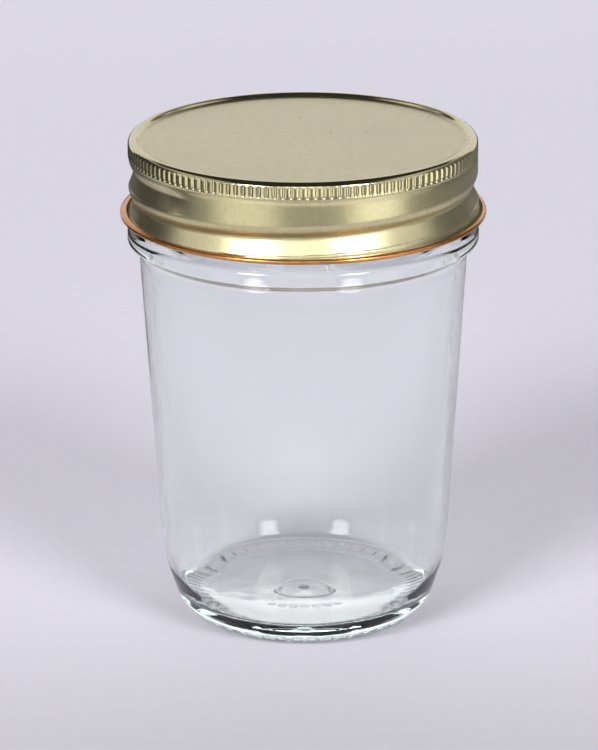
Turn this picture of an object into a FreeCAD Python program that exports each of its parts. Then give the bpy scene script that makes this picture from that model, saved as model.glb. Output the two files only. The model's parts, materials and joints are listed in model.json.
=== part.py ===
# Half-pint preserving jar with a one-piece pressed screw cap.
#
# Three pieces: the moulded glass jar, the tinplate screw cap and the soft sealing ring that is
# flowed into the channel under the cap's shoulder.
# Frame: +Z up, origin on the surface the jar stands on, at the middle of its base. Millimetres.

import FreeCAD, Part
import math
import os
import Sketcher

os.makedirs("parts", exist_ok=True)
doc = FreeCAD.newDocument("preserving_jar")
VERTICAL = FreeCAD.Vector(0, 0, 1)

# ---------------------------------------------------------------- driving dimensions

DIMENSIONS = {
    # glass body
    "side_low_radius": 29.92,        # where the tapered side turns in towards the heel
    "side_low_height": 10.8,
    "side_low_rounding": 44.0,
    "foot_radius": 25.56,            # where the sloping heel, carried on down, meets the table
    "side_top_radius": 33.92,        # top of the tapered side, under the bead
    "side_top_height": 79.8,
    "heel_rounding": 6.0,
    "bearing_inner_radius": 20.3,
    "push_up_radius": 14.0,
    "push_up_height": 0.6,
    # transfer bead under the cap
    "bead_radius": 36.2,
    "bead_low": 81.4,
    "bead_high": 83.95,
    "bead_rounding": 0.9,
    "bead_root_height": 85.85,
    "bead_root_rounding": 0.8,
    # 70-450 neck finish
    "neck_radius": 33.3,
    "bore_radius": 30.1,
    "rim_height": 100.83,
    "rim_rounding": 1.2,
    # inside of the jar
    "floor_height": 5.0,
    "floor_crown": 0.8,
    "floor_corner_radius": 26.0,
    "inner_heel_rounding": 1.6,
    "inside_low_radius": 28.6,
    "inside_low_height": 11.3,
    "inside_low_rounding": 14.0,
    "inside_top_radius": 31.4,
    "inside_top_height": 77.7,
    "bore_low": 83.6,
    "inside_rounding": 4.0,
    # threads, both right-handed
    "thread_pitch": 6.35,
    "glass_thread_radius": 34.75,
    "glass_thread_round": 1.72,
    "glass_thread_lead": 2.15,       # glass thread sits this far above the cap's thread
    "glass_thread_start": -240.0,    # degrees round from +X
    "glass_thread_end": 175.0,
    "cap_thread_height": 92.75,      # height of the cap's thread at the +X side
    "cap_thread_start": -175.0,
    "cap_thread_end": 232.0,
    "cap_thread_depth": 1.3,
    "cap_thread_round": 1.9,
    "thread_run_out_angle": 28.0,
    "thread_run_out": 1.75,          # how far the bar backs away from its crest at each end
    "thread_step_angle": 7.0,        # spacing of the points that the thread's path goes through
    # pressed cap
    "sheet_metal": 0.24,
    "cap_top": 102.6,
    "panel_height": 101.9,
    "panel_radius": 33.5,
    "shoulder_inner_radius": 34.1,
    "shoulder_rounding": 1.3,
    "step_rounding": 0.45,
    "skirt_radius": 35.87,
    "skirt_flare_start": 91.8,
    "skirt_flare_middle": 89.4,
    "skirt_middle_radius": 36.22,
    "skirt_mouth_radius": 36.55,
    "skirt_bottom": 86.4,
    "curl_radius": 36.97,
    "curl_round": 0.7,
    "curl_height": 87.1,
    "flute_count": 140,
    "flute_round": 0.62,
    "flute_crest_radius": 36.02,
    "flute_low": 99.15,
    "flute_length": 2.6,
    # stippled bearing ring
    "stipple_count": 48,
    "stipple_width": 1.2,
    "stipple_depth": 0.6,
    "stipple_inner_radius": 23.2,
    "stipple_outer_radius": 25.4,
    # sealing ring
    "seal_inner_radius": 31.0,
    "seal_outer_radius": 35.3,
    "seal_bottom": 100.85,
    "seal_top": 102.15,
    "seal_step_radius": 34.6,
    "seal_shelf_radius": 33.85,
    "seal_inner_top": 101.6,
    "seal_rounding": 0.3,
}

sheet = doc.addObject("Spreadsheet::Sheet", "Dimensions")
for row, (alias, value) in enumerate(DIMENSIONS.items(), start=1):
    sheet.set(f"A{row}", alias)
    sheet.set(f"B{row}", str(value))
    sheet.setAlias(f"B{row}", alias)
doc.recompute()


def size(alias):
    """A driving dimension, read from the spreadsheet."""
    return float(sheet.get(alias))


def cell(expression):
    """An expression over the spreadsheet's aliases, with each alias written out in full."""
    words = []
    for word in expression.split():
        words.append(f"Dimensions.{word}" if word in DIMENSIONS else word)
    return " ".join(words)


# ---------------------------------------------------------------- helpers

def origin_plane(body, role):
    """A body's own origin plane, such as XZ_Plane."""
    return next(item for item in body.Origin.OriginFeatures if item.Role == role)


def flat_sketch(body, name, role):
    """An empty sketch on one of the body's origin planes."""
    sketch = body.newObject("Sketcher::SketchObject", name)
    sketch.AttachmentSupport = [(origin_plane(body, role), "")]
    sketch.MapMode = "FlatFace"
    return sketch


def bind(sketch, kind, geometry, point, expression):
    """Ties one coordinate of a sketch point to an expression; zero means on the axis."""
    if expression == "0":
        axis = -2 if kind == "DistanceX" else -1
        sketch.addConstraint(Sketcher.Constraint("PointOnObject", geometry, point, axis))
        return
    here = sketch.getPoint(geometry, point)
    value = here.x if kind == "DistanceX" else here.y
    index = sketch.addConstraint(Sketcher.Constraint(kind, -1, 1, geometry, point, value))
    sketch.setExpression(f"Constraints[{index}]", cell(expression))


def evaluate(expression):
    """The number that an expression over the aliases comes to."""
    total, sign = 0.0, 1.0
    for word in expression.split():
        if word in "+-":
            sign = 1.0 if word == "+" else -1.0
        else:
            total += sign * (size(word) if word in DIMENSIONS else float(word))
    return total


def outline(body, name, corners):
    """A closed outline on the XZ plane through corners given as (radius, height) expressions."""
    sketch = flat_sketch(body, name, "XZ_Plane")
    places = [FreeCAD.Vector(evaluate(radius), evaluate(height), 0) for radius, height in corners]
    count = len(places)
    for index in range(count):
        sketch.addGeometry(Part.LineSegment(places[index], places[(index + 1) % count]))
    for index in range(count):
        following = (index + 1) % count
        sketch.addConstraint(Sketcher.Constraint("Coincident", index, 2, following, 1))
    for index, (radius, height) in enumerate(corners):
        bind(sketch, "DistanceX", index, 1, radius)
        bind(sketch, "DistanceY", index, 1, height)
    return sketch


def turned_body(name, corners):
    """A body turned about Z from one outline, as a front and a back half turn."""
    body = doc.addObject("PartDesign::Body", name)
    body.Label = name
    sketch = outline(body, name + "_outline", corners)
    for half in ("front", "back"):
        turning = body.newObject("PartDesign::Revolution", f"{name}_{half}")
        turning.Profile = sketch
        turning.ReferenceAxis = (sketch, ["V_Axis"])
        turning.Angle = 180.0
        turning.Reversed = half == "back"
        turning.Refine = False
        doc.recompute()
    return body


def ring_edges(shape, radius, height):
    """The names of the circular edges about Z at this radius and height."""
    names = []
    for index, edge in enumerate(shape.Edges, start=1):
        curve = edge.Curve
        if not isinstance(curve, Part.Circle):
            continue
        centre = curve.Center
        centred = math.hypot(centre.x, centre.y) < 1e-4
        if centred and abs(curve.Radius - radius) < 1e-3 and abs(centre.z - height) < 1e-3:
            names.append(f"Edge{index}")
    if not names:
        raise ValueError(f"no ring edge at radius {radius}, height {height}")
    return names


def round_rings(body, name, radius_alias, rings):
    """Rounds circular edges, given as (radius, height) expressions, with one radius."""
    base = body.Tip
    edges = []
    for radius, height in rings:
        edges += ring_edges(base.Shape, evaluate(radius), evaluate(height))
    fillet = body.newObject("PartDesign::Fillet", name)
    fillet.Base = (base, edges)
    fillet.Refine = False
    fillet.setExpression("Radius", cell(radius_alias))
    body.Tip = fillet
    doc.recompute()


def repeat_round_z(body, feature, name, count_alias):
    """Repeats a feature evenly all the way round Z."""
    pattern = body.newObject("PartDesign::PolarPattern", name)
    pattern.Originals = [feature]
    pattern.Axis = (origin_axis(body), [""])
    pattern.Angle = 360.0
    pattern.setExpression("Occurrences", cell(count_alias))
    pattern.Refine = False
    body.Tip = pattern
    doc.recompute()


def origin_axis(body):
    """A body's own Z axis."""
    return next(item for item in body.Origin.OriginFeatures if item.Role == "Z_Axis")


def half_circles(centre, along, radius):
    """A circle square to the direction along, as an inner and an outer half that meet above it."""
    inward = FreeCAD.Vector(-centre.x, -centre.y, 0).normalize()
    above = along.cross(inward).normalize()
    inward = above.cross(along).normalize()
    top = centre + above * radius
    bottom = centre - above * radius
    inner = Part.Arc(top, centre + inward * radius, bottom).toShape()
    outer = Part.Arc(bottom, centre - inward * radius, top).toShape()
    return Part.Wire([inner, outer])


def helical_tube(name, round_radius, crest_radius, outward, height_at_x, start_deg, end_deg):
    """A round bar wound about Z, whose ends run out smoothly into or out of the wall.

    Its crest is at crest_radius, on the outer side when outward is true. Over the last
    thread_run_out_angle at each end it moves away from the crest by thread_run_out.
    """
    side = -1.0 if outward else 1.0
    steps = int((end_deg - start_deg) / size("thread_step_angle"))
    points = []
    for step in range(steps + 1):
        degrees = start_deg + (end_deg - start_deg) * step / steps
        to_end = min(degrees - start_deg, end_deg - degrees)
        part_way = max(0.0, 1.0 - to_end / size("thread_run_out_angle"))
        ease = part_way * part_way * (3.0 - 2.0 * part_way)
        radius = crest_radius + side * (round_radius + size("thread_run_out") * ease)
        height = height_at_x + size("thread_pitch") * degrees / 360.0
        angle = math.radians(degrees)
        points.append(FreeCAD.Vector(radius * math.cos(angle), radius * math.sin(angle), height))
    path = Part.BSplineCurve()
    path.interpolate(points)
    section = half_circles(points[0], path.tangent(path.FirstParameter)[0], round_radius)
    tube = Part.Wire(path.toShape()).makePipeShell([section], True, True)
    feature = doc.addObject("Part::Feature", name)
    feature.Label = name
    feature.Shape = tube
    feature.Placement = FreeCAD.Placement()
    return feature


def combine(kind, name, base, tool):
    """A boolean of two objects: Part::Fuse or Part::Cut."""
    result = doc.addObject(kind, name)
    result.Label = name
    result.Base = base
    result.Tool = tool
    doc.recompute()
    return result


# ---------------------------------------------------------------- glass jar

def make_glass_jar():
    blank = turned_body("jar_blank", [
        ("0", "push_up_height"),
        ("push_up_radius", "push_up_height"),
        ("bearing_inner_radius", "0"),
        ("foot_radius", "0"),
        ("side_low_radius", "side_low_height"),
        ("side_top_radius", "side_top_height"),
        ("bead_radius", "bead_low"),
        ("bead_radius", "bead_high"),
        ("neck_radius", "bead_root_height"),
        ("neck_radius", "rim_height"),
        ("0", "rim_height"),
    ])
    round_rings(blank, "low_side", "side_low_rounding", [("side_low_radius", "side_low_height")])
    round_rings(blank, "heel", "heel_rounding", [("foot_radius", "0")])
    round_rings(blank, "bead_roundings", "bead_rounding", [
        ("side_top_radius", "side_top_height"),
        ("bead_radius", "bead_low"),
        ("bead_radius", "bead_high"),
    ])
    round_rings(blank, "bead_root", "bead_root_rounding", [("neck_radius", "bead_root_height")])
    round_rings(blank, "rim_outside", "rim_rounding", [("neck_radius", "rim_height")])
    cut_stipple(blank)

    thread = helical_tube(
        "jar_thread",
        size("glass_thread_round"),
        size("glass_thread_radius"),
        True,
        size("cap_thread_height") + size("glass_thread_lead"),
        size("glass_thread_start"),
        size("glass_thread_end"),
    )
    threaded = combine("Part::Fuse", "jar_outside", blank, thread)

    above_rim = "rim_height + 2"
    hollow = turned_body("jar_hollow", [
        ("0", "floor_height + floor_crown"),
        ("floor_corner_radius", "floor_height"),
        ("inside_low_radius", "inside_low_height"),
        ("inside_top_radius", "inside_top_height"),
        ("bore_radius", "bore_low"),
        ("bore_radius", above_rim),
        ("0", above_rim),
    ])
    round_rings(hollow, "inner_low_side", "inside_low_rounding", [
        ("inside_low_radius", "inside_low_height"),
    ])
    round_rings(hollow, "inner_heel", "inner_heel_rounding", [
        ("floor_corner_radius", "floor_height"),
    ])
    round_rings(hollow, "inner_shoulder", "inside_rounding", [
        ("inside_top_radius", "inside_top_height"),
        ("bore_radius", "bore_low"),
    ])
    jar = combine("Part::Cut", "jar_hollowed", threaded, hollow)

    rounded = doc.addObject("Part::Fillet", "glass_jar")
    rounded.Label = "glass_jar"
    rounded.Base = jar
    names = ring_edges(jar.Shape, size("bore_radius"), size("rim_height"))
    rounding = size("rim_rounding")
    rounded.Edges = [(int(name.removeprefix("Edge")), rounding, rounding) for name in names]
    doc.recompute()
    return rounded


def cut_stipple(body):
    """Short radial notches all round the outer edge of the bearing ring, which stipple it."""
    sketch = flat_sketch(body, "stipple_outline", "XY_Plane")
    low, high = size("stipple_inner_radius"), size("stipple_outer_radius")
    half = size("stipple_width") / 2
    corners = [
        FreeCAD.Vector(low, -half, 0),
        FreeCAD.Vector(high, -half, 0),
        FreeCAD.Vector(high, half, 0),
        FreeCAD.Vector(low, half, 0),
    ]
    for index in range(4):
        sketch.addGeometry(Part.LineSegment(corners[index], corners[(index + 1) % 4]))
    for index in range(4):
        sketch.addConstraint(Sketcher.Constraint("Coincident", index, 2, (index + 1) % 4, 1))
    for index, kind in enumerate(["Horizontal", "Vertical", "Horizontal"]):
        sketch.addConstraint(Sketcher.Constraint(kind, index))
    sketch.addConstraint(Sketcher.Constraint("Symmetric", 0, 1, 2, 2, -1))
    bind(sketch, "DistanceX", 0, 1, "stipple_inner_radius")
    bind(sketch, "DistanceX", 1, 1, "stipple_outer_radius")
    width = sketch.addConstraint(Sketcher.Constraint("DistanceY", 0, 1, 2, 2, 2 * half))
    sketch.setExpression(f"Constraints[{width}]", cell("stipple_width"))
    doc.recompute()

    before = body.Tip.Shape.Volume
    notch = body.newObject("PartDesign::Pocket", "stipple_notch")
    notch.Profile = sketch
    notch.Type = 0
    notch.Reversed = True
    notch.setExpression("Length", cell("stipple_depth"))
    notch.Refine = False
    body.Tip = notch
    doc.recompute()
    if notch.Shape.Volume >= before:
        raise ValueError("the stipple notch cut nothing")
    repeat_round_z(body, notch, "stipple", "stipple_count")


# ---------------------------------------------------------------- screw cap

def make_screw_cap():
    blank = turned_body("cap_blank", [
        ("0", "skirt_bottom"),
        ("skirt_mouth_radius", "skirt_bottom"),
        ("skirt_mouth_radius", "curl_height"),
        ("skirt_middle_radius", "skirt_flare_middle"),
        ("skirt_radius", "skirt_flare_start"),
        ("skirt_radius", "cap_top"),
        ("shoulder_inner_radius", "cap_top"),
        ("panel_radius", "panel_height"),
        ("0", "panel_height"),
    ])
    round_rings(blank, "shoulder", "shoulder_rounding", [("skirt_radius", "cap_top")])
    round_rings(blank, "panel_step", "step_rounding", [
        ("shoulder_inner_radius", "cap_top"),
        ("panel_radius", "panel_height"),
    ])
    raise_flutes(blank)

    curl = doc.addObject("Part::Torus", "cap_curl")
    curl.Label = "cap_curl"
    curl.setExpression("Radius1", cell("curl_radius"))
    curl.setExpression("Radius2", cell("curl_round"))
    curl.setExpression("Placement.Base.z", cell("curl_height"))
    doc.recompute()
    with_curl = combine("Part::Fuse", "cap_with_curl", blank, curl)

    crest = size("skirt_radius") - size("cap_thread_depth")
    turns = (size("cap_thread_height"), size("cap_thread_start"), size("cap_thread_end"))
    groove = helical_tube("cap_thread_groove", size("cap_thread_round"), crest, False, *turns)
    grooved = combine("Part::Cut", "cap_grooved", with_curl, groove)

    below_skirt = "skirt_bottom - 1"
    hollow = turned_body("cap_hollow", [
        ("0", below_skirt),
        ("skirt_mouth_radius - sheet_metal", below_skirt),
        ("skirt_mouth_radius - sheet_metal", "curl_height"),
        ("skirt_middle_radius - sheet_metal", "skirt_flare_middle"),
        ("skirt_radius - sheet_metal", "skirt_flare_start"),
        ("skirt_radius - sheet_metal", "cap_top - sheet_metal"),
        ("shoulder_inner_radius + sheet_metal", "cap_top - sheet_metal"),
        ("panel_radius + sheet_metal", "panel_height - sheet_metal"),
        ("0", "panel_height - sheet_metal"),
    ])
    round_rings(hollow, "shoulder_inside", "shoulder_rounding - sheet_metal", [
        ("skirt_radius - sheet_metal", "cap_top - sheet_metal"),
    ])
    round_rings(hollow, "panel_step_inside", "step_rounding", [
        ("panel_radius + sheet_metal", "panel_height - sheet_metal"),
    ])
    rib_round = size("cap_thread_round") + size("sheet_metal")
    rib = helical_tube("cap_thread_rib", rib_round, crest - size("sheet_metal"), False, *turns)
    ribbed_hollow = combine("Part::Cut", "cap_ribbed_hollow", hollow, rib)
    return combine("Part::Cut", "screw_cap", grooved, ribbed_hollow)


def raise_flutes(body):
    """Upright finger flutes all round the top of the side wall."""
    sketch = flat_sketch(body, "flute_outline", "XY_Plane")
    centre = size("flute_crest_radius") - size("flute_round")
    sketch.AttachmentOffset = FreeCAD.Placement(
        FreeCAD.Vector(0, 0, size("flute_low")), FreeCAD.Rotation())
    sketch.setExpression("AttachmentOffset.Base.z", cell("flute_low"))
    circle = Part.Circle(FreeCAD.Vector(centre, 0, 0), VERTICAL, size("flute_round"))
    sketch.addGeometry(circle)
    bind(sketch, "DistanceX", 0, 3, "flute_crest_radius - flute_round")
    sketch.addConstraint(Sketcher.Constraint("PointOnObject", 0, 3, -1))
    radius = sketch.addConstraint(Sketcher.Constraint("Radius", 0, size("flute_round")))
    sketch.setExpression(f"Constraints[{radius}]", cell("flute_round"))
    doc.recompute()

    flute = body.newObject("PartDesign::Pad", "flute")
    flute.Profile = sketch
    flute.setExpression("Length", cell("flute_length"))
    flute.Refine = False
    body.Tip = flute
    doc.recompute()
    repeat_round_z(body, flute, "flutes", "flute_count")


# ---------------------------------------------------------------- sealing ring

def make_sealing_ring():
    ring = turned_body("sealing_ring", [
        ("seal_inner_radius", "seal_bottom"),
        ("seal_outer_radius", "seal_bottom"),
        ("seal_outer_radius", "seal_top"),
        ("seal_step_radius", "seal_top"),
        ("seal_shelf_radius", "seal_inner_top"),
        ("seal_inner_radius", "seal_inner_top"),
    ])
    round_rings(ring, "seal_edges", "seal_rounding", [
        ("seal_inner_radius", "seal_bottom"),
        ("seal_outer_radius", "seal_bottom"),
        ("seal_outer_radius", "seal_top"),
    ])
    return ring


# ---------------------------------------------------------------- build, check and write

nodes = [make_glass_jar(), make_screw_cap(), make_sealing_ring()]
doc.recompute()

failed = [item.Label for item in doc.Objects if {"Invalid", "Error"} & set(item.State)]
if failed:
    raise RuntimeError("these objects failed: " + ", ".join(failed))
for node in nodes:
    shape = node.Shape
    if shape.isNull() or not shape.isValid() or len(shape.Solids) != 1:
        raise RuntimeError(f"{node.Label} is not one valid solid")
for node in nodes:
    node.Shape.exportStep(f"parts/{node.Label}.step")
    box = node.Shape.BoundBox
    print(node.Label, round(node.Shape.Volume, 1), "mm3", len(node.Shape.Faces), "faces",
          [round(value, 2) for value in (box.XMin, box.YMin, box.ZMin, box.XMax, box.YMax, box.ZMax)])
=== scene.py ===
"""Mason jar: clear pressed glass with a gold-lacquered screw cap, on a pale studio floor."""

import json
import math

import bpy
import numpy as np
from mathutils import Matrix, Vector


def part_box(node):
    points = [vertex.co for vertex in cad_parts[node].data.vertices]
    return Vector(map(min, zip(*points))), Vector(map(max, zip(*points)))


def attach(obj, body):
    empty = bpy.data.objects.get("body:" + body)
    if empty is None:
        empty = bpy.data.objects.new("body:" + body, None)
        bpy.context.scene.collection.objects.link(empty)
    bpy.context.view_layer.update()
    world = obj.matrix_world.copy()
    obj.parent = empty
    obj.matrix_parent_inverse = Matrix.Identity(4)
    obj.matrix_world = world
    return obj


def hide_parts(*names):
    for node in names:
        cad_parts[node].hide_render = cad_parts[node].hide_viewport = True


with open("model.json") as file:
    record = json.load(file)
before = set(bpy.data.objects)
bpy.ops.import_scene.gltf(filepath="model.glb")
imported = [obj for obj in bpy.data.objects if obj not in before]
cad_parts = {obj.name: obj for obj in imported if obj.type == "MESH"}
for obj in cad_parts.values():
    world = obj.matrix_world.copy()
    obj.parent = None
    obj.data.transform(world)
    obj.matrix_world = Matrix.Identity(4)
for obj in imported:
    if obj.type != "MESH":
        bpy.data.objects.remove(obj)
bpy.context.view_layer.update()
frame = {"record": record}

MM = 0.001
TURN = 2 * math.pi

# ---------------------------------------------------------------- sizes from the frame, in mm

jar_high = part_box("glass_jar")[1]
cap_low, cap_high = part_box("screw_cap")
seal_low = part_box("sealing_ring")[0]
coupling = frame["record"]["behaviour"]["couplings"][0]

THREAD_PITCH = coupling["ratio"] * TURN / MM
RIM_HEIGHT = jar_high.z / MM
BEAD_RADIUS = jar_high.x / MM
CURL_RADIUS = cap_high.x / MM
CAP_TOP = cap_high.z / MM
CAP_BOTTOM = cap_low.z / MM
SEAL_BOTTOM = seal_low.z / MM

# ---------------------------------------------------------------- sizes of the jar, in mm
# Heights are above the foot, and angles are in degrees round from +X.

AXIS_RING = 0.3  # radius of the first and last ring of points, next to the axis
PUSH_UP_HEIGHT = 0.7
BEARING_RADIUS = 20.6
BASE_RADIUS = 25.56
HEEL_RADIUS, HEEL_HEIGHT = 29.92, 10.8
BODY_TOP_RADIUS, BODY_TOP = 33.92, 80.1
BEAD_BOTTOM, BEAD_TOP = 81.1, 83.95
NECK_RADIUS, NECK_BOTTOM = BEAD_RADIUS - 2.9, 85.85
RIM_ROUNDING = 1.35
BORE_RADIUS, BORE_BOTTOM = 30.1, 83.6
INSIDE_TOP_RADIUS, INSIDE_TOP = 31.4, 77.7
INSIDE_LOW_RADIUS, INSIDE_LOW = 28.6, 11.3
FLOOR_RADIUS, FLOOR_EDGE, FLOOR_MIDDLE = 26.0, 5.0, 5.8
JAR_COLUMNS = 320

STIPPLES = 48
STIPPLE_DEPTH = 0.36
STIPPLE_HALF_WIDTH = 0.85
STIPPLE_INNER, STIPPLE_INNER_FULL = 22.4, 23.0
STIPPLE_FULL_BELOW, STIPPLE_TOP = 1.3, 2.0
STIPPLE_COLUMNS = STIPPLES * 20
STIPPLE_COLUMNS_BELOW = 5.0  # the heel's outside has the finer columns up to here

MARK_DEPTH = 0.28
MARK_RING_RADIUS, MARK_RING_HALF_WIDTH = 5.6, 0.42
DOTS_EACH_SIDE, DOT_SPACING_ANGLE = 3, 11
DOTS_RADIUS, DOT_SIZE = 12.6, 0.75
MARKED_RADIUS, MARKED_BELOW = 17.0, 2.5

GLASS_THREAD_HEIGHT = 94.9
GLASS_THREAD_DEPTH = 1.45
GLASS_THREAD_HALF_WIDTH = 1.42
GLASS_THREAD_ANGLES = (-240, -212, 150, 176)  # starts, is whole, starts to end, has ended

# ---------------------------------------------------------------- sizes of the cap, in mm

SHEET = 0.24
PANEL_DROP = 0.7
PANEL_RADII = (0.4, 7, 14, 20, 25, 29, 31.5)
CREASE_RADIUS, CREASE_DEPTH, CREASE_HALF_WIDTH = 33.0, 0.09, 0.16
STEP_RADIUS, STEP_WIDTH = 33.5, 0.85
WALL_RADIUS = 35.87
SHOULDER_ROUNDING = 1.3
SHOULDER_ANGLES = (90, 80, 70, 62, 54, 47, 41, 36, 33, 30, 27, 24, 21, 18, 14, 8, 0)
FLUTED_RADIUS = 34.6
FLUTED_TOP, FLUTED_BOTTOM = 102.0, 99.0
FLUTED_ROWS = (100.9, 100.5, 100.2, 100.0, 99.85, 99.7, 99.6, 99.5, 99.43, 99.37, 99.32, 99.2)
WAIST_DEPTH, WAIST_HEIGHT, WAIST_SPREAD = 0.16, 98.95, 0.75
WALL_TOP = 99.05
WALL_FOOT_ABOVE_CURL = 0.95
FLARE, FLARE_TOP, FLARE_LENGTH = 0.46, 91.3, 3.9
CAP_COLUMNS = 280
WALL_ROWS_OUTSIDE, WALL_ROWS_INSIDE = 72, 26

FLUTES = 140
FLUTE_DEPTH = 0.25
FLUTE_HALF_WIDTH = 0.50
FLUTE_ARCH_BOTTOM, FLUTE_ARCH_LENGTH = 101.3, 0.52
FLUTE_FOOT, FLUTE_FOOT_LENGTH = 99.3, 0.9
FLUTE_RADIUS = 35.9
FLUTE_COLUMNS = FLUTES * 10
INNER_FLUTE_COLUMNS = FLUTES * 4

CAP_THREAD_HEIGHT = 92.6
CAP_THREAD_DEPTH = 1.15
CAP_THREAD_ANGLES = (-215, -185, 218, 234)
CAP_THREAD_ABOVE, CAP_THREAD_BELOW = 2.7, 3.3
CAP_THREAD_ROUNDING = 0.3
CAP_THREAD_TOP, CAP_THREAD_BOTTOM = 99.5, 87.3

CURL_HALF_WIDTH = 0.62
CURL_HALF_HEIGHT = 0.56
CURL_START, CURL_END = 180, 464  # from the wall, over three quarters round
CURL_ROWS = 19

# ---------------------------------------------------------------- sizes of the seal, in mm

SEAL_INNER, SEAL_OUTER = 31.1, 35.1
SEAL_THIN, SEAL_THICK = 0.66, 1.25  # over the rim, and in the shoulder's corner
SEAL_SLOPE_FOOT, SEAL_SLOPE_TOP = 33.35, 34.0
SEAL_START = 33.0  # where the closed section starts and ends
SEAL_EDGE_RIPPLE = 0.02
SEAL_COLUMNS = 240

# ---------------------------------------------------------------- mesh helpers

ARC_STEP = math.radians(11)


def smoothstep(low, high, x):
    """0 below low, 1 above high, and a smooth rise between."""
    t = np.clip((x - low) / (high - low), 0.0, 1.0)
    return t * t * (3.0 - 2.0 * t)


def straight(start, end, step):
    """Points from start towards end, leaving out the end."""
    start, end = np.array(start), np.array(end)
    count = max(1, int(math.ceil(np.linalg.norm(end - start) / step)))
    return [start + (end - start) * k / count for k in range(count)]


def rounded_outline(corners, step):
    """A (radius, height) outline through corners (radius, height, rounding, spacing).

    Each corner but the first and last is replaced by a tangent arc of its rounding. The spacing,
    where a corner has one, is that of the points on the run that leaves the corner.
    """
    places = [np.array(corner[:2], dtype=float) for corner in corners]
    outline = []
    here = places[0]
    for k in range(1, len(corners) - 1):
        spacing = corners[k - 1][3] if len(corners[k - 1]) > 3 else step
        rounding = corners[k][2]
        into = places[k] - places[k - 1]
        out = places[k + 1] - places[k]
        into, out = into / np.linalg.norm(into), out / np.linalg.norm(out)
        turn = math.atan2(into[0] * out[1] - into[1] * out[0], into @ out)
        reach = rounding * math.tan(abs(turn) / 2)
        first = places[k] - into * reach
        outline += straight(here, first, spacing)
        side = np.array([-into[1], into[0]]) * (1 if turn > 0 else -1)
        centre = first + side * rounding
        spoke = -side * rounding
        count = max(2, int(math.ceil(abs(turn) / ARC_STEP)))
        for angle in turn * np.arange(count) / count:
            cos, sin = math.cos(angle), math.sin(angle)
            turned = np.array([spoke[0] * cos - spoke[1] * sin, spoke[0] * sin + spoke[1] * cos])
            outline.append(centre + turned)
        here = places[k] + out * reach
    spacing = corners[-2][3] if len(corners[-2]) > 3 else step
    outline += straight(here, places[-1], spacing)
    outline.append(places[-1])
    return np.array(outline)


def normals_of(outline):
    """Unit vectors square to the outline, pointing to the right of its direction."""
    along = np.gradient(outline, axis=0)
    along /= np.linalg.norm(along, axis=1)[:, None]
    return np.stack([along[:, 1], -along[:, 0]], axis=1)


def around(count):
    """Equal steps round the circle."""
    return np.arange(count) * TURN / count


def from_nearest(angles, count):
    """The angle from the nearest of count equal steps round the circle."""
    step = TURN / count
    return angles - np.round(angles / step) * step


def helix_offset(angles, height, height_at_x):
    """Distance above the nearest turn of a right-hand helix, and the angle of that turn."""
    turns = np.round((height - height_at_x) / THREAD_PITCH - angles / TURN)
    wound = angles + turns * TURN
    return height - (height_at_x + THREAD_PITCH * wound / TURN), wound


def run_out(wound, start, full, waning, end):
    """1 along a thread from full to waning, and falling to 0 at its start and end."""
    start, full, waning, end = np.radians([start, full, waning, end])
    return smoothstep(start, full, wound) * (1 - smoothstep(waning, end, wound))


class Turned:
    """A mesh turned about Z from rings of points, whose counts may change by whole factors."""

    def __init__(self):
        self.points = []
        self.faces = []
        self.slots = []
        self.last = None

    def ring(self, radius, height, angles, slot=0):
        """Adds a ring and joins it to the one before. Radius and height may vary round it."""
        radius = np.broadcast_to(radius, angles.shape)
        height = np.broadcast_to(height, angles.shape)
        self.follow([radius * np.cos(angles), radius * np.sin(angles), height], slot)

    def pole(self, height, slot=0):
        """Adds one point on the axis, joined to the ring before or waiting for the next."""
        self.follow([[0.0], [0.0], [height]], slot)

    def follow(self, coordinates, slot):
        """Adds points and joins them to the ones before."""
        start = sum(len(ring) for ring in self.points)
        self.points.append(np.stack(coordinates, axis=1))
        here = (start, len(self.points[-1]))
        if self.last:
            self.join(self.last, here, slot)
        self.last = here

    def join(self, a, b, slot):
        """Fills between two rings, each given as its first point's index and its count."""
        (a0, an), (b0, bn) = a, b
        if an == 1 or bn == 1:
            self.fan(a, b, slot)
        elif an == bn:
            for k in range(an):
                nxt = (k + 1) % an
                self.add((a0 + k, a0 + nxt, b0 + nxt, b0 + k), slot)
        elif an < bn:
            self.change_count(a, b, slot, flip=False)
        else:
            self.change_count(b, a, slot, flip=True)

    def fan(self, a, b, slot):
        """Triangles between a pole and a ring."""
        (a0, an), (b0, bn) = a, b
        count = max(an, bn)
        for k in range(count):
            nxt = (k + 1) % count
            self.add((a0, b0 + nxt, b0 + k) if an == 1 else (a0 + k, a0 + nxt, b0), slot)

    def change_count(self, coarse, fine, slot, flip):
        """Triangles between a ring and one with a whole number of points for each of its own."""
        (c0, few), (f0, many) = coarse, fine
        each = many // few
        half = each // 2
        for k in range(few):
            nxt = (k + 1) % few
            for j in range(each):
                here = f0 + (k * each + j) % many
                ahead = f0 + (k * each + j + 1) % many
                corner = c0 + (k if j < half else nxt)
                self.add((corner, here, ahead) if flip else (corner, ahead, here), slot)
            middle = f0 + (k * each + half) % many
            face = (c0 + k, c0 + nxt, middle)
            self.add(face[::-1] if flip else face, slot)

    def add(self, face, slot):
        self.faces.append(face)
        self.slots.append(slot)

    def object(self, name, materials):
        """The finished piece, turned from mm to metres and put in the scene."""
        mesh = bpy.data.meshes.new(name)
        points = np.concatenate(self.points) * MM
        mesh.from_pydata(points.tolist(), [], self.faces)
        mesh.polygons.foreach_set("material_index", self.slots)
        mesh.polygons.foreach_set("use_smooth", [True] * len(self.faces))
        for material in materials:
            mesh.materials.append(material)
        mesh.validate()
        mesh.update()
        piece = bpy.data.objects.new(name, mesh)
        bpy.context.scene.collection.objects.link(piece)
        return piece


# ---------------------------------------------------------------- node helpers


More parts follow.
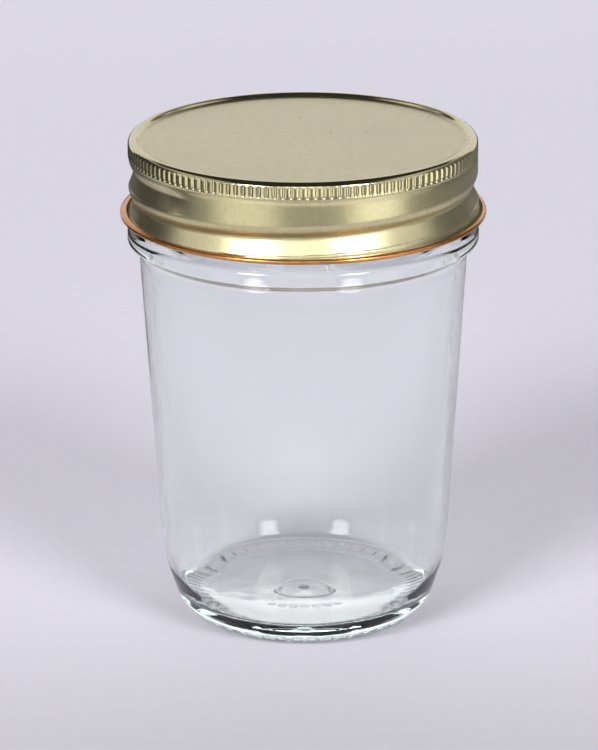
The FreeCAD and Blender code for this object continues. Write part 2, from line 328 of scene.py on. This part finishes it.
class Nodes:
    """A short way to write the node tree of a new material or world."""

    def __init__(self, owner):
        owner.use_nodes = True
        self.owner = owner
        self.tree = owner.node_tree
        self.shader = self.tree.nodes.get("Principled BSDF")

    def new(self, kind, **settings):
        node = self.tree.nodes.new(kind)
        for key, value in settings.items():
            setattr(node, key, value)
        return node

    def feed(self, value, target):
        """Links a socket, or sets a plain value."""
        if isinstance(value, bpy.types.NodeSocket):
            self.tree.links.new(value, target)
        else:
            target.default_value = value

    def maths(self, operation, *values):
        node = self.new("ShaderNodeMath", operation=operation)
        for socket, value in zip(node.inputs, values):
            self.feed(value, socket)
        return node.outputs[0]

    def length(self, x, y):
        """How far (x, y) lies from (0, 0)."""
        squares = self.maths("ADD", self.maths("POWER", x, 2.0), self.maths("POWER", y, 2.0))
        return self.maths("SQRT", squares)

    def place(self):
        """The object's own coordinates, in metres."""
        return self.new("ShaderNodeTexCoord").outputs["Object"]

    def split(self, vector):
        node = self.new("ShaderNodeSeparateXYZ")
        self.feed(vector, node.inputs[0])
        return node.outputs

    def join(self, x, y, z):
        node = self.new("ShaderNodeCombineXYZ")
        for socket, value in zip(node.inputs, (x, y, z)):
            self.feed(value, socket)
        return node.outputs[0]

    def noise(self, vector, scale, detail, roughness=0.5):
        node = self.new("ShaderNodeTexNoise")
        self.feed(vector, node.inputs["Vector"])
        node.inputs["Scale"].default_value = scale
        node.inputs["Detail"].default_value = detail
        node.inputs["Roughness"].default_value = roughness
        return node.outputs[0]

    def ramp(self, value, *stops):
        """A colour ramp through (position, colour) stops."""
        node = self.new("ShaderNodeValToRGB")
        self.feed(value, node.inputs[0])
        for element, (position, colour) in zip(node.color_ramp.elements, stops):
            element.position = position
            element.color = (*colour, 1.0)
        return node.outputs[0]

    def blend(self, kind, factor, a, b):
        node = self.new("ShaderNodeMix", data_type="RGBA", blend_type=kind)
        self.feed(factor, node.inputs[0])
        self.feed(a, node.inputs[6])
        self.feed(b, node.inputs[7])
        return node.outputs[2]

    def remap(self, value, span, result):
        """Takes a span of the value to a span of results, and holds still outside it."""
        node = self.new("ShaderNodeMapRange")
        for socket, number in zip(node.inputs, (value, *span, *result)):
            self.feed(number, socket)
        return node.outputs[0]

    def above(self, value, low, high):
        """0 below low, rising to 1 above high."""
        return self.remap(value, (low, high), (0.0, 1.0))

    def below(self, value, low, high):
        """1 below low, falling to 0 above high."""
        return self.remap(value, (low, high), (1.0, 0.0))

    def bump(self, height, strength, distance, after=None):
        """A relief in metres, laid over another one where after is given."""
        node = self.new("ShaderNodeBump")
        node.inputs["Strength"].default_value = strength
        node.inputs["Distance"].default_value = distance
        self.feed(height, node.inputs["Height"])
        if after:
            self.feed(after, node.inputs["Normal"])
        return node.outputs[0]

    def set(self, **values):
        """Sets the shader's own sockets, whose names have spaces where these have underscores."""
        for key, value in values.items():
            self.feed(value, self.shader.inputs[key.replace("_", " ")])


def material_nodes(name):
    return Nodes(bpy.data.materials.new(name))


def grey(value):
    return (value, value, value)


def opaque(colour):
    return (*colour, 1.0)


# ---------------------------------------------------------------- materials

GLASS_TINT = (0.985, 0.995, 0.99)
GLASS_ABSORPTION_TINT = (0.70, 0.92, 0.90)
GLASS_ABSORPTION = 9.5
GOLD, GOLD_DARK = (0.80, 0.735, 0.44), (0.71, 0.65, 0.37)
COPPER, COPPER_DARK = (0.74, 0.34, 0.11), (0.68, 0.30, 0.09)
# painted shade: the darker colour put on the curl's underside
PAINTED_SHADE_UNDERSIDE = (0.45, 0.40, 0.33)
INSIDE_LACQUER = (0.76, 0.65, 0.51)
PIT = (0.07, 0.06, 0.04)
TINPLATE, TINPLATE_DARK = (0.62, 0.60, 0.57), (0.35, 0.33, 0.30)
COMPOUND, COMPOUND_DARK = (0.86, 0.83, 0.75), (0.78, 0.74, 0.64)
LACQUER_COAT, LACQUER_COAT_ROUGHNESS = 0.15, 0.12
GRAIN_STRENGTH, GRAIN_HEIGHT = 0.05, 0.04 * MM


def clear_glass():
    """Clear pressed glass, slightly wavy along its height, blue-green where it is thick."""
    n = material_nodes("clear_glass")
    x, y, z = n.split(n.place())
    stretched = n.join(x, y, n.maths("MULTIPLY", z, 0.35))
    waves = n.noise(stretched, scale=90.0, detail=1.0)
    ripples = n.noise(stretched, scale=320.0, detail=2.0)
    wavy = n.bump(waves, strength=0.10, distance=1.2 * MM)
    n.set(
        Base_Color=opaque(GLASS_TINT),
        Roughness=n.remap(ripples, (0.45, 0.8), (0.0, 0.03)),
        IOR=1.5,
        Transmission_Weight=1.0,
        Normal=n.bump(ripples, strength=0.05, distance=0.3 * MM, after=wavy),
    )
    absorb = n.new("ShaderNodeVolumeAbsorption")
    absorb.inputs["Color"].default_value = opaque(GLASS_ABSORPTION_TINT)
    absorb.inputs["Density"].default_value = GLASS_ABSORPTION
    n.feed(absorb.outputs[0], n.tree.nodes["Material Output"].inputs["Volume"])
    return n.owner


def lacquer_tone(n, place, light, dark):
    """What the gold and the copper lacquer share: a mottled, slightly cloudy colour."""
    mottle = n.noise(place, scale=900.0, detail=4.0, roughness=0.6)
    cloud = n.noise(place, scale=45.0, detail=2.0)
    tone = n.blend("MIX", n.above(mottle, 0.3, 0.7), opaque(dark), opaque(light))
    return n.blend("MULTIPLY", 0.5, tone, n.ramp(cloud, (0.3, grey(0.88)), (0.7, grey(1.0))))


def specks(n, place):
    """1 on a few small pits scattered over the level panel, and 0 between them."""
    cells = n.new("ShaderNodeTexVoronoi", feature="F1", voronoi_dimensions="2D")
    n.feed(place, cells.inputs["Vector"])
    cells.inputs["Scale"].default_value = 150.0
    chance, size, _ = n.split(cells.outputs["Color"])
    pit_radius = n.remap(size, (0.0, 1.0), (0.015, 0.045))
    near = n.maths("LESS_THAN", cells.outputs["Distance"], pit_radius)
    return n.maths("MULTIPLY", near, n.maths("GREATER_THAN", chance, 0.86))


def gold_lacquer():
    """Pale gold lacquer over tinplate, grained on the panel and drawn upright on the side."""
    n = material_nodes("gold_lacquer")
    place = n.place()
    tone = lacquer_tone(n, place, GOLD, GOLD_DARK)
    x, y, z = n.split(place)
    away = n.length(x, y)
    # the shoulder's crest and the flutes are rubbed shinier than the rest
    crest = n.maths("MULTIPLY", n.above(z, (CAP_TOP - 0.68) * MM, (CAP_TOP - 0.5) * MM),
                    n.above(away, 33.3 * MM, 33.6 * MM))
    fluted = n.maths("MULTIPLY", n.above(z, 98.9 * MM, 99.1 * MM),
                     n.above(away, 35.1 * MM, 35.3 * MM))
    rubbed = n.remap(n.maths("MAXIMUM", crest, fluted), (0.0, 1.0), (1.0, 0.42))
    angle = n.maths("ARCTAN2", y, x)
    drawn = n.join(n.maths("MULTIPLY", angle, 0.036), n.maths("MULTIPLY", z, 0.02), 0.0)
    streaks = n.noise(drawn, scale=2600.0, detail=3.0, roughness=0.6)
    grain = n.noise(place, scale=2300.0, detail=3.0, roughness=0.7)
    on_panel = n.maths("GREATER_THAN", z, (CAP_TOP - 0.85) * MM)
    relief = n.blend("MIX", on_panel, streaks, grain)
    lines = n.ramp(relief, (0.35, grey(0.75)), (0.65, grey(1.0)))
    tone = n.blend("MULTIPLY", 0.2, tone, lines)
    pitted = n.maths("MULTIPLY", on_panel, specks(n, place))
    n.set(
        Base_Color=n.blend("MIX", pitted, tone, opaque(PIT)),
        Metallic=1.0,
        Roughness=n.maths("MULTIPLY", rubbed, n.remap(relief, (0.3, 0.7), (0.29, 0.32))),
        Coat_Weight=LACQUER_COAT,
        Coat_Roughness=LACQUER_COAT_ROUGHNESS,
        Normal=n.bump(relief, GRAIN_STRENGTH, GRAIN_HEIGHT),
    )
    return n.owner


def copper_lacquer():
    """The orange lacquer that the curl turns out, paler inside the cap, with painted shade on the
    curl's underside.
    """
    n = material_nodes("copper_lacquer")
    place = n.place()
    tone = lacquer_tone(n, place, COPPER, COPPER_DARK)
    x, y, z = n.split(place)
    angle = n.maths("ARCTAN2", y, x)
    rolled = n.join(n.maths("MULTIPLY", angle, 0.002), z, 0.0)
    grain = n.noise(rolled, scale=2600.0, detail=2.0)
    # painted shade: the curl's underside is coloured darker, where shade falls below the cap
    underneath = n.below(z, (CAP_BOTTOM + 0.12) * MM, (CAP_BOTTOM + 0.32) * MM)
    above_curl = n.above(z, (CAP_BOTTOM + 1.1) * MM, (CAP_BOTTOM + 1.3) * MM)
    tone = n.blend("MIX", underneath, tone, opaque(PAINTED_SHADE_UNDERSIDE))
    n.set(
        Base_Color=n.blend("MIX", above_curl, tone, opaque(INSIDE_LACQUER)),
        Metallic=1.0,
        Roughness=n.remap(grain, (0.3, 0.7), (0.20, 0.30)),
        Coat_Weight=LACQUER_COAT,
        Coat_Roughness=LACQUER_COAT_ROUGHNESS,
        Normal=n.bump(grain, GRAIN_STRENGTH, GRAIN_HEIGHT),
    )
    return n.owner


def cut_edge():
    """Bare tinplate at the sheet's cut edge."""
    n = material_nodes("cut_edge")
    grain = n.noise(n.place(), scale=3000.0, detail=2.0)
    n.set(
        Base_Color=n.ramp(grain, (0.3, TINPLATE_DARK), (0.7, TINPLATE)),
        Metallic=1.0,
        Roughness=n.remap(grain, (0.3, 0.7), (0.35, 0.55)),
    )
    return n.owner


def seal_compound():
    """Cream sealing compound, flowed in and cured, with a slight skin."""
    n = material_nodes("seal_compound")
    place = n.place()
    flow = n.noise(place, scale=220.0, detail=2.0)
    pits = n.noise(place, scale=1500.0, detail=3.0)
    flowed = n.bump(flow, strength=0.2, distance=0.6 * MM)
    n.set(
        Base_Color=n.ramp(flow, (0.3, COMPOUND_DARK), (0.7, COMPOUND)),
        Roughness=n.remap(pits, (0.3, 0.7), (0.42, 0.6)),
        Subsurface_Weight=0.08,
        Subsurface_Radius=(2.0 * MM, 1.5 * MM, 1.0 * MM),
        Normal=n.bump(pits, strength=0.15, distance=0.1 * MM, after=flowed),
    )
    return n.owner


# ---------------------------------------------------------------- glass jar


def glass_thread(angles, height):
    """The neck's radius with its thread, which runs out smoothly at both ends."""
    offset, wound = helix_offset(angles, height, GLASS_THREAD_HEIGHT)
    swell = np.exp(-np.abs(offset / GLASS_THREAD_HALF_WIDTH) ** 3.2)
    return NECK_RADIUS + GLASS_THREAD_DEPTH * run_out(wound, *GLASS_THREAD_ANGLES) * swell


def base_mark(radius, angles):
    """Relief moulded under the base: a plain ring and an arc of small dots at the front."""
    ring = np.exp(-((radius - MARK_RING_RADIUS) / MARK_RING_HALF_WIDTH) ** 4)
    spacing = math.radians(DOT_SPACING_ANGLE)
    from_front = (angles + TURN / 4 + TURN / 2) % TURN - TURN / 2
    nearest = np.clip(np.round(from_front / spacing), -DOTS_EACH_SIDE, DOTS_EACH_SIDE) * spacing
    away = np.hypot(radius - DOTS_RADIUS, DOTS_RADIUS * (from_front - nearest))
    dots = np.exp(-(away / DOT_SIZE) ** 4)
    return MARK_DEPTH * np.maximum(ring, dots)


def stipple_depth(radius, height, angles):
    """How far the heel is cut back between the stipple marks, round the bearing ring."""
    across = from_nearest(angles, STIPPLES) * radius / STIPPLE_HALF_WIDTH
    between = 1 - np.exp(-np.abs(across) ** 2.6)
    zone = (smoothstep(STIPPLE_INNER, STIPPLE_INNER_FULL, radius)
            * (1 - smoothstep(STIPPLE_FULL_BELOW, STIPPLE_TOP, height)))
    return STIPPLE_DEPTH * between * zone


def jar_outline():
    """The jar's section, from the middle of the base up the outside and down the inside."""
    return rounded_outline([
        (AXIS_RING, PUSH_UP_HEIGHT, 0, 0.4),
        (BEARING_RADIUS, 0.0, 30.0, 0.5),
        (BASE_RADIUS, 0.0, 6.0, 0.5),
        (HEEL_RADIUS, HEEL_HEIGHT, 44.0, 2.2),
        (BODY_TOP_RADIUS, BODY_TOP, 0.9, 0.3),
        (BEAD_RADIUS, BEAD_BOTTOM, 0.8, 0.35),
        (BEAD_RADIUS, BEAD_TOP, 1.8),
        (NECK_RADIUS, NECK_BOTTOM, 0.8, 0.3),
        (NECK_RADIUS, RIM_HEIGHT, RIM_ROUNDING),
        (BORE_RADIUS, RIM_HEIGHT, RIM_ROUNDING),
        (BORE_RADIUS, BORE_BOTTOM, 7.0),
        (INSIDE_TOP_RADIUS, INSIDE_TOP, 9.0, 2.2),
        (INSIDE_LOW_RADIUS, INSIDE_LOW, 14.0),
        (FLOOR_RADIUS, FLOOR_EDGE, 1.6),
        (AXIS_RING, FLOOR_MIDDLE, 0),
    ], step=1.0)


def make_glass_jar(material):
    """The whole glass as one turned skin, with its stipples, base mark and thread."""
    outline = jar_outline()
    jar = Turned()
    jar.pole(outline[0][1])
    for (radius, height), (out_r, out_z) in zip(outline, normals_of(outline)):
        faces_out = out_z < 0 or out_r > 0.3
        outer_heel = faces_out and radius > BEARING_RADIUS and height < STIPPLE_COLUMNS_BELOW
        angles = around(STIPPLE_COLUMNS if outer_heel else JAR_COLUMNS)
        r, z = np.full(angles.shape, radius), np.full(angles.shape, height)
        if outer_heel:
            depth = stipple_depth(radius, height, angles)
            r = r - out_r * depth
            z = z - out_z * depth
        if radius < MARKED_RADIUS and height < MARKED_BELOW:
            z = z - base_mark(radius, angles)
        if abs(radius - NECK_RADIUS) < 0.01:
            r = glass_thread(angles, height)
        jar.ring(r, z, angles)
    jar.pole(outline[-1][1])
    piece = jar.object("jar_glass", [material])
    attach(piece, "jar")
    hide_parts("glass_jar")
    return piece


# ---------------------------------------------------------------- screw cap


def cap_thread(angles, height):
    """How far the rolled thread draws the side wall in: bowed above its foot, straight below."""
    offset, wound = helix_offset(angles, height, CAP_THREAD_HEIGHT)
    away = np.sqrt(offset ** 2 + CAP_THREAD_ROUNDING ** 2) - CAP_THREAD_ROUNDING
    above = np.clip(1 - away / CAP_THREAD_ABOVE, 0, 1) ** 1.6
    below = np.clip(1 - away / CAP_THREAD_BELOW, 0, 1)
    whole = CAP_THREAD_DEPTH * run_out(wound, *CAP_THREAD_ANGLES)
    return whole * np.where(offset > 0, above, below)


def flutes(angles, height):
    """How far the finger flutes are pressed in: channels arched at the top, pointed below."""
    up_arch = max(0.0, (height - FLUTE_ARCH_BOTTOM) / FLUTE_ARCH_LENGTH)
    up_foot = min(1.0, max(0.0, (height - FLUTE_FOOT) / FLUTE_FOOT_LENGTH))
    half = FLUTE_HALF_WIDTH * math.sqrt(max(0.0, 1 - up_arch ** 2)) * up_foot ** 0.5
    if half < 0.02:
        return np.zeros(angles.shape)
    from_channel = from_nearest(angles + math.pi / FLUTES, FLUTES)
    across = np.abs(from_channel) * FLUTE_RADIUS / half
    return FLUTE_DEPTH * np.clip(1 - across ** 2, 0, 1)


def cap_side(inset, wall_rows):
    """(radius, height) rows of one face of the sheet, from the panel to the top of the curl."""
    panel = CAP_TOP - PANEL_DROP - inset
    rows = [(radius, panel) for radius in PANEL_RADII]

    crease = CREASE_RADIUS + inset * 0.5
    for radius in np.linspace(crease - 0.5, crease + 0.4, 9):
        dip = CREASE_DEPTH * math.exp(-((radius - crease) / CREASE_HALF_WIDTH) ** 2)
        rows.append((radius, panel - dip))

    step = STEP_RADIUS + inset * 0.7
    for u in np.linspace(0, 1, 10):
        rise = PANEL_DROP * (0.5 - 0.5 * math.cos(math.pi * u))
        rows.append((step + STEP_WIDTH * u, panel + rise))

    rounding = SHOULDER_ROUNDING - inset
    for angle in np.radians(SHOULDER_ANGLES):
        rows.append((WALL_RADIUS - SHOULDER_ROUNDING + rounding * math.cos(angle),
                     CAP_TOP - SHOULDER_ROUNDING + rounding * math.sin(angle)))

    wall = WALL_RADIUS - inset
    rows += [(wall, height) for height in FLUTED_ROWS]
    for height in np.linspace(WALL_TOP, CAP_BOTTOM + WALL_FOOT_ABOVE_CURL, wall_rows):
        flare = FLARE * min(1.0, max(0.0, (FLARE_TOP - height) / FLARE_LENGTH))
        waist = WAIST_DEPTH * math.exp(-((height - WAIST_HEIGHT) / WAIST_SPREAD) ** 2)
        under_flutes = smoothstep(99.2, 98.9, height)
        rows.append((wall + flare - waist * under_flutes, height))
    return rows


def curl(inset):
    """(radius, height) rows of the rolled edge, round the bottom and back up to its open end."""
    across, upright = CURL_HALF_WIDTH - inset, CURL_HALF_HEIGHT - inset
    centre_r = CURL_RADIUS - CURL_HALF_WIDTH
    centre_z = CAP_BOTTOM + CURL_HALF_HEIGHT
    return [(centre_r + across * math.cos(a), centre_z + upright * math.sin(a))
            for a in np.radians(np.linspace(CURL_START, CURL_END, CURL_ROWS))]


def make_screw_cap(gold, copper, edge):
    """The cap's sheet: its gold face rolls into the curl, so its copper face turns out there."""
    gold_slot, copper_slot, edge_slot = 0, 1, 2
    gold_face = cap_side(0.0, WALL_ROWS_OUTSIDE) + curl(SHEET)
    copper_face = (cap_side(SHEET, WALL_ROWS_INSIDE) + curl(0.0))[::-1]
    cap = Turned()
    cap.pole(gold_face[0][1], gold_slot)
    for rows, slot in ((gold_face, gold_slot), (copper_face, copper_slot)):
        flute_columns = FLUTE_COLUMNS if slot == gold_slot else INNER_FLUTE_COLUMNS
        for index, (radius, height) in enumerate(rows):
            on_wall = radius > FLUTED_RADIUS
            fluted = on_wall and FLUTED_BOTTOM < height < FLUTED_TOP
            angles = around(flute_columns if fluted else CAP_COLUMNS)
            r = np.full(angles.shape, radius)
            if on_wall and CAP_THREAD_BOTTOM < height < CAP_THREAD_TOP:
                r = r - cap_thread(angles, height)
            if on_wall:
                r = r - flutes(angles, height)
            starts_copper = slot == copper_slot and index == 0
            cap.ring(r, height, angles, edge_slot if starts_copper else slot)
    cap.pole(copper_face[-1][1], copper_slot)
    piece = cap.object("cap_shell", [gold, copper, edge])
    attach(piece, "cap")
    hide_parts("screw_cap")
    return piece


# ---------------------------------------------------------------- sealing ring


def make_sealing_ring(material):
    """The flowed-in ring: thin where it seals on the rim, thicker into the shoulder's corner."""
    thin, thick = SEAL_BOTTOM + SEAL_THIN, SEAL_BOTTOM + SEAL_THICK
    outline = rounded_outline([
        (SEAL_START, thin, 0),
        (SEAL_INNER, thin, 0.2),
        (SEAL_INNER, SEAL_BOTTOM, 0.3),
        (SEAL_OUTER, SEAL_BOTTOM, 0.35),
        (SEAL_OUTER, thick, 0.35),
        (SEAL_SLOPE_TOP, thick, 0.2),
        (SEAL_SLOPE_FOOT, thin, 0.2),
        (SEAL_START, thin, 0),
    ], step=0.25)
    angles = around(SEAL_COLUMNS)
    ripple = SEAL_EDGE_RIPPLE * np.abs(np.sin(angles * 9 + 1.0) * np.sin(angles * 4))
    ring = Turned()
    for radius, height in outline:
        at_inner_edge = radius < SEAL_INNER + 0.5
        ring.ring(radius + ripple * at_inner_edge, height, angles)
    piece = ring.object("seal_ring", [material])
    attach(piece, "cap_carrier")
    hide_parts("sealing_ring")
    return piece


make_glass_jar(clear_glass())
make_screw_cap(gold_lacquer(), copper_lacquer(), cut_edge())
make_sealing_ring(seal_compound())

# ---------------------------------------------------------------- studio, in metres

PAPER, PAPER_DARK = (0.735, 0.72, 0.79), (0.72, 0.705, 0.775)
SURROUND_NEAR = (0.73, 0.71, 0.78)
SURROUND_LEFT, SURROUND_RIGHT = (0.05, 0.05, 0.055), (0.19, 0.187, 0.195)
CARD_LIGHT = (1.0, 0.99, 0.97)
GLOW_LIGHT = (1.0, 0.99, 0.98)
VEIL_LIGHT = (0.98, 0.98, 1.0)
ROOM_LIGHT = (0.96, 0.94, 1.0)
BLACK = grey(0.0)
JAR_MIDDLE = Vector((0, 0, CAP_TOP / 2 * MM))

FLOOR_HALF = 4.0
FLOOR_GAP = 0.05 * MM
SURROUND_INNER, SURROUND_FADED, SURROUND_OUTER = 0.11, 0.24, 3.0
SURROUND_HEIGHT = 0.3 * MM
CARD_DISTANCE, CARD_BOTTOM, CARD_TOP = 0.22, 0.001, 0.085
FLAT_DISTANCE, FLAT_HEIGHT, FLAT_STEPS = 0.7, 0.5, 12
VEIL_DISTANCE, VEIL_COLUMNS = 2.0, 48
VEIL_ELEVATIONS = (3, 20, 40, 60, 80)
SOFTBOX_DISTANCE, SOFTBOX_SIZE, SOFTBOX_ELEVATION = 1.5, 0.55, 35


def from_jar(azimuth, elevation, distance):
    """A place seen from the jar's foot; azimuth 0 is the camera's side, positive to the right."""
    a, e = math.radians(azimuth), math.radians(elevation)
    return Vector((math.sin(a) * math.cos(e), -math.cos(a) * math.cos(e), math.sin(e))) * distance


def face_jar(item):
    """Turns a light or a glow, which shines or lies square to its Z axis, to the jar."""
    item.rotation_euler = (JAR_MIDDLE - item.location).to_track_quat("-Z", "Y").to_euler()


def studio_piece(name, points, faces, material):
    mesh = bpy.data.meshes.new(name)
    mesh.from_pydata(points, [], faces)
    mesh.materials.append(material)
    return bpy.data.objects.new(name, mesh)


def show_only(piece, *kept):
    """Puts in a piece that shows only in reflections ("glossy") or through glass."""
    for ray in ("camera", "diffuse", "glossy", "transmission", "shadow", "volume_scatter"):
        setattr(piece, f"visible_{ray}", ray in kept)
    bpy.context.scene.collection.objects.link(piece)


def light_material(name, colour):
    """The nodes of a material that gives light and reflects none, with its strength to set."""
    n = material_nodes(name)
    n.set(Base_Color=opaque(BLACK), Emission_Color=opaque(colour))
    return n


def make_floor():
    """Pale paper, with painted shade that darkens it a little towards the camera."""
    n = material_nodes("studio_floor")
    place = n.place()
    fibre = n.noise(place, scale=400.0, detail=3.0)
    # painted shade: the paper's colour darkens towards the camera, standing for the lamps'
    # fall-off
    shade = n.remap(n.split(place)[1], (-0.11, 0.02), (0.66, 1.0))
    paper = n.ramp(fibre, (0.3, PAPER_DARK), (0.7, PAPER))
    n.set(
        Base_Color=n.blend("MULTIPLY", 1.0, paper, n.join(shade, shade, shade)),
        Roughness=0.75,
        Specular_IOR_Level=0.25,
    )
    corners = [(-1, -1), (1, -1), (1, 1), (-1, 1)]
    points = [(x * FLOOR_HALF, y * FLOOR_HALF, 0) for x, y in corners]
    floor = studio_piece("floor", points, [(0, 1, 2, 3)], n.owner)
    floor.location.z = -FLOOR_GAP
    bpy.context.scene.collection.objects.link(floor)


def make_surround():
    """Dark table round the paper, which only shows in the cap's and the glass's reflections."""
    n = material_nodes("surround")
    x, y, _ = n.split(n.place())
    paper_edge = n.below(n.length(x, y), SURROUND_INNER, SURROUND_FADED)
    rightward = n.maths("SUBTRACT", n.maths("MULTIPLY", x, 0.8), y)
    dark = n.blend("MIX", n.above(rightward, -0.32, -0.16), opaque(SURROUND_LEFT),
                   opaque(SURROUND_RIGHT))
    n.set(
        Base_Color=n.blend("MIX", paper_edge, dark, opaque(SURROUND_NEAR)),
        Roughness=0.8,
    )
    count = 96
    points = [(r * math.cos(a), r * math.sin(a), 0.0)
              for r in (SURROUND_INNER, SURROUND_OUTER) for a in around(count)]
    faces = [(k, (k + 1) % count, count + (k + 1) % count, count + k) for k in range(count)]
    surround = studio_piece("surround", points, faces, n.owner)
    surround.location.z = SURROUND_HEIGHT
    show_only(surround, "glossy")


def make_card(name, azimuth, width, strength):
    """A low white card beside the camera, facing the jar, that only shows in reflections."""
    half = width / 2
    n = light_material(name, CARD_LIGHT)
    across = n.maths("ABSOLUTE", n.split(n.place())[0])
    soft = n.below(across, half * 0.45, half)
    n.set(Emission_Strength=n.maths("MULTIPLY", soft, strength))
    points = [(-half, 0, CARD_BOTTOM), (half, 0, CARD_BOTTOM),
              (half, 0, CARD_TOP), (-half, 0, CARD_TOP)]
    card = studio_piece(name, points, [(0, 1, 2, 3)], n.owner)
    card.location = from_jar(azimuth, 0, CARD_DISTANCE)
    card.rotation_euler.z = math.radians(azimuth)
    show_only(card, "glossy")


def make_dark_flat(name, first, last, brightness):
    """A curved dark flat round one side of the table, that only shows in reflections."""
    n = material_nodes(name)
    cloth = n.noise(n.place(), scale=12.0, detail=2.0)
    n.set(
        Base_Color=n.ramp(cloth, (0.3, grey(0.8 * brightness)), (0.7, grey(brightness))),
        Roughness=0.9,
    )
    points = [from_jar(azimuth, 0, FLAT_DISTANCE) + Vector((0, 0, height))
              for azimuth in np.linspace(first, last, FLAT_STEPS + 1)
              for height in (0.0, FLAT_HEIGHT)]
    faces = [(2 * k, 2 * k + 2, 2 * k + 3, 2 * k + 1) for k in range(FLAT_STEPS)]
    show_only(studio_piece(name, points, faces, n.owner), "glossy")


def make_glow(name, azimuth, elevation, distance, width, height, strength):
    """The soft face of a softbox, which is what the cap and the glass reflect of it."""
    w, h = width / 2, height / 2
    n = light_material(name, GLOW_LIGHT)
    x, y, _ = n.split(n.place())
    away = n.length(n.maths("DIVIDE", x, w), n.maths("DIVIDE", y, h))
    soft = n.below(away, 0.35, 1.0)
    n.set(Emission_Strength=n.maths("MULTIPLY", soft, strength))
    points = [(-w, -h, 0), (w, -h, 0), (w, h, 0), (-w, h, 0)]
    glow = studio_piece(name, points, [(0, 1, 2, 3)], n.owner)
    glow.location = from_jar(azimuth, elevation, distance)
    face_jar(glow)
    show_only(glow, "glossy", "transmission")


def make_veil():
    """A pale dome round the studio, which only shows through the glass."""
    n = light_material("veil", VEIL_LIGHT)
    height = n.split(n.place())[2]
    n.set(Emission_Strength=n.remap(height, (0.35, 1.1), (0.6, 1.8)))
    count = VEIL_COLUMNS
    points = [from_jar(math.degrees(a), elevation, VEIL_DISTANCE)
              for elevation in VEIL_ELEVATIONS for a in around(count)]
    faces = [(count * j + k, count * j + (k + 1) % count,
              count * (j + 1) + (k + 1) % count, count * (j + 1) + k)
             for j in range(len(VEIL_ELEVATIONS) - 1) for k in range(count)]
    show_only(studio_piece("veil", points, faces, n.owner), "transmission")


def area_light(name, width, height, power):
    """A rectangular light, which the cap and the glass don't reflect."""
    light = bpy.data.lights.new(name, "AREA")
    light.shape = "RECTANGLE"
    light.size, light.size_y = width, height
    light.energy = power
    lamp = bpy.data.objects.new(name, light)
    lamp.visible_glossy = False
    bpy.context.scene.collection.objects.link(lamp)
    return lamp


def make_softbox(name, azimuth, power):
    """One of the two lights at the front, whose reflection is a glow's instead."""
    lamp = area_light(name, SOFTBOX_SIZE, SOFTBOX_SIZE, power)
    lamp.location = from_jar(azimuth, SOFTBOX_ELEVATION, SOFTBOX_DISTANCE)
    lamp.visible_transmission = False
    face_jar(lamp)


def make_backdrop_lamp():
    """Lights the paper behind the jar from overhead."""
    lamp = area_light("backdrop_lamp", 1.6, 0.7, power=7.6)
    lamp.location = (0, 1.15, 0.75)


def make_camera():
    """The photograph's view: 0.79 m from the jar, looking 19 degrees down, slightly rolled."""
    distance, tilt, roll = 0.789, math.radians(19.03), math.radians(-0.26)
    aim = Vector((-0.00101, 0.0, 0.05073))
    data = bpy.data.cameras.new("camera")
    data.sensor_width = 36.0
    data.lens = 181.2
    data.clip_start = 0.01
    camera = bpy.data.objects.new("camera", data)
    camera.location = aim + distance * Vector((0, -math.cos(tilt), math.sin(tilt)))
    camera.rotation_mode = "ZYX"
    camera.rotation_euler = (math.pi / 2 - tilt, 0, roll)
    bpy.context.scene.collection.objects.link(camera)
    bpy.context.scene.camera = camera


def make_world():
    """A dark studio: a bright low backdrop all round, and lighter walls to left and right."""
    n = Nodes(bpy.data.worlds.new("studio"))
    x, _, z = n.split(n.new("ShaderNodeTexCoord").outputs["Generated"])
    backdrop = n.below(z, 0.48, 0.58)
    sideways = n.above(n.maths("ABSOLUTE", x), 0.55, 0.75)
    raised = n.maths("MULTIPLY", n.above(z, 0.55, 0.65), n.below(z, 0.85, 0.92))
    walls = n.maths("MULTIPLY", sideways, raised)
    light = n.maths("MULTIPLY", n.maths("ADD", backdrop, walls), 0.80)
    background = n.tree.nodes["Background"]
    background.inputs["Color"].default_value = opaque(ROOM_LIGHT)
    n.feed(n.maths("ADD", light, 0.03), background.inputs["Strength"])
    bpy.context.scene.world = n.owner


make_floor()
make_surround()
make_card("left_card", azimuth=-35, width=0.24, strength=1.0)
make_card("right_card", azimuth=45, width=0.20, strength=1.4)
make_dark_flat("left_flat", first=-140, last=-92, brightness=0.03)
make_dark_flat("right_flat", first=88, last=140, brightness=0.12)
make_veil()
make_softbox("left_softbox", azimuth=-37, power=15.0)
make_softbox("right_softbox", azimuth=37, power=11.9)
make_glow("left_glow", azimuth=-35, elevation=30, distance=1.5, width=0.58, height=0.66,
          strength=19.0)
make_glow("right_glow", azimuth=35, elevation=30, distance=1.5, width=0.58, height=0.66,
          strength=17.5)
make_glow("middle_glow", azimuth=0, elevation=38, distance=1.6, width=1.30, height=0.50,
          strength=3.0)
make_backdrop_lamp()
make_camera()
make_world()
bpy.context.scene.view_settings.view_transform = "Standard"
